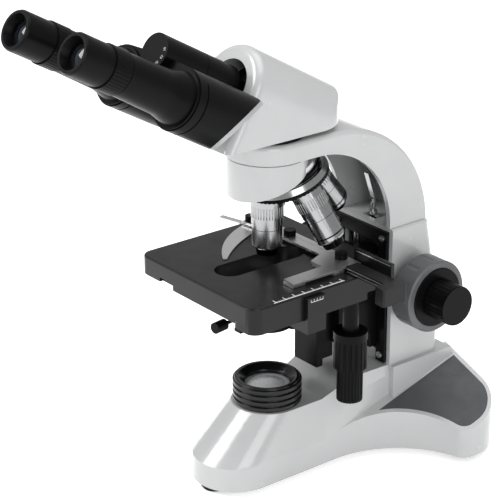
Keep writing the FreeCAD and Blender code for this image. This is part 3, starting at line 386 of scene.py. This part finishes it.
def vernier_marks():
    """Short reading marks at the top of the index plate."""
    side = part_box("lower_stage")
    x = (side[1].x - lamp_x) * 1000
    top = side[1].z * 1000
    boxes = [(stand(x - 0.1, -19, top - 3.2), stand(x + 0.07, -7, top - 2.8))]
    for k in range(5):
        y = -19 + 2.9 * k
        boxes.append((stand(x - 0.1, y, top - 2.8), stand(x + 0.07, y + 0.35, top - 0.9)))
    slabs("vernier_marks", boxes, "carriage", scale_white)


def rail_trim():
    """Bright guide strips in the front face of the cross rail."""
    low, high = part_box("x_rail")
    front = (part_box("rail_guide")[0].y - lamp_y) * 1000
    rail_front = 29.0
    boxes = []
    for z in (185.4, 187.9):
        boxes.append((stand(62.5, rail_front - 0.12, z), stand(103.6, rail_front + 0.3, z + 0.9)))
    slabs("rail_strips", boxes, "slide_carrier", trim_silver)
    boxes = [(stand(52, front - 0.1, 195.2), stand(92, front + 0.2, 196.0))]
    slabs("guide_strip", boxes, "stage", trim_silver)


def cross_scale():
    """Numberless scale on the slide holder's long plate."""
    z = (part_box("slide_holder")[1].z) * 1000
    boxes = []
    for k in range(17):
        reach = 2.6 if k % 5 == 0 else 1.5
        x = -14 + 2.2 * k
        boxes.append((stand(x, 40.5 - reach, z - 0.05), stand(x + 0.25, 40.5, z + 0.05)))
    slabs("holder_scale", boxes, "slide_carrier", black)


tube_tilt = math.radians(30)
hinge_height = 312.7        # mm, hinge axis above the table on the optical axis
barrel_face = 119.5         # mm along the hinge axis to the barrel's front disc
number_size = 0.003
number_ring = 0.0105        # radius of the ring of numbers
number_turns = {"55": -76, "60": -44, "65": -12, "70": 20}


def tube_point(x, n, s):
    """A point in mm in the eye-tube frame, as metres in the part frame."""
    c, h = math.cos(tube_tilt), math.sin(tube_tilt)
    return Vector(stand(x, n * h - s * c, hinge_height + n * c + s * h))


def barrel_numbers():
    """Eye-distance numbers on the hinge barrel's front disc."""
    c, h = math.cos(tube_tilt), math.sin(tube_tilt)
    right, up, out = Vector((1, 0, 0)), Vector((0, h, c)), Vector((0, -c, h))
    centre = tube_point(0, 0, barrel_face)
    for k, (label, turn) in enumerate(number_turns.items()):
        angle = math.radians(turn)
        radial = right * math.cos(angle) + up * math.sin(angle)
        curve = bpy.data.curves.new("digits_%d" % k, "FONT")
        curve.body = label
        curve.size = number_size
        curve.extrude = 0.00006
        curve.align_x = "CENTER"
        curve.align_y = "CENTER"
        curve.materials.append(dim_white)
        digits = bpy.data.objects.new("barrel_number_" + label, curve)
        bpy.context.scene.collection.objects.link(digits)
        along = out.cross(radial)
        facing = Matrix((along, radial, along.cross(radial))).transposed()
        spot = centre + radial * number_ring + out * 0.00003
        digits.matrix_world = Matrix.Translation(spot) @ facing.to_4x4()
        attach(digits, "right_arm")


stage_scale()
vernier_marks()
rail_trim()
cross_scale()
barrel_numbers()


# --- camera, light and floor --------------------------------------------------
aim_height = 0.191
camera_distance = 1.5188
camera_azimuth = math.radians(51.28)
camera_height = math.radians(22.47)


def stage_set():
    floor = bpy.data.objects.new("floor", bpy.data.meshes.new("floor"))
    shape = bmesh.new()
    bmesh.ops.create_grid(shape, x_segments=1, y_segments=1, size=6.0)
    shape.to_mesh(floor.data)
    shape.free()
    look = Look("floor_paper", (0.93, 0.93, 0.93), 0.9)
    tone = look.span(look.noise(0.4, 2), 0, 1)
    look.colour(look.blend(tone, (0.925, 0.925, 0.925), (0.94, 0.94, 0.94)))
    look.put(Emission_Color=(1, 1, 1, 1), Emission_Strength=0.45)
    floor.data.materials.append(look.material)
    bpy.context.scene.collection.objects.link(floor)
    world = bpy.data.worlds.new("studio")
    bpy.context.scene.world = world
    world.use_nodes = True
    background = world.node_tree.nodes["Background"]
    background.inputs["Color"].default_value = (1, 1, 1, 1)
    background.inputs["Strength"].default_value = 0.6


def soft_box(name, spot, aim, size, power):
    """A rectangular studio light aimed at a point."""
    data = bpy.data.lights.new(name, "AREA")
    data.shape = "RECTANGLE"
    data.size, data.size_y = size
    data.energy = power
    lamp = bpy.data.objects.new(name, data)
    bpy.context.scene.collection.objects.link(lamp)
    lamp.location = spot
    lamp.rotation_euler = (Vector(aim) - Vector(spot)).to_track_quat("-Z", "Y").to_euler()


def make_camera():
    reach = math.cos(camera_height)
    back = Vector((
        math.sin(camera_azimuth) * reach, -math.cos(camera_azimuth) * reach, math.sin(camera_height)))
    data = bpy.data.cameras.new("camera")
    camera = bpy.data.objects.new("camera", data)
    bpy.context.scene.collection.objects.link(camera)
    camera.location = Vector((lamp_x, lamp_y, aim_height)) + back * camera_distance
    camera.rotation_euler = (-back).to_track_quat("-Z", "Y").to_euler()
    data.sensor_width = 36
    data.lens = 139.7
    data.shift_x = -0.0342
    data.shift_y = 0.0007
    data.clip_start = 0.05
    data.clip_end = 60
    bpy.context.scene.camera = camera


bpy.context.scene.view_settings.view_transform = "Standard"
stage_set()
soft_box("key", (-0.9, -1.3, 1.5), (0, 0, 0.2), (1.0, 1.0), 30)
soft_box("fill", (1.7, -0.6, 0.9), (0, 0, 0.2), (1.0, 1.4), 14)
soft_box("top", (0.1, 0.3, 1.9), (0, 0, 0.2), (1.6, 1.6), 18)
make_camera()
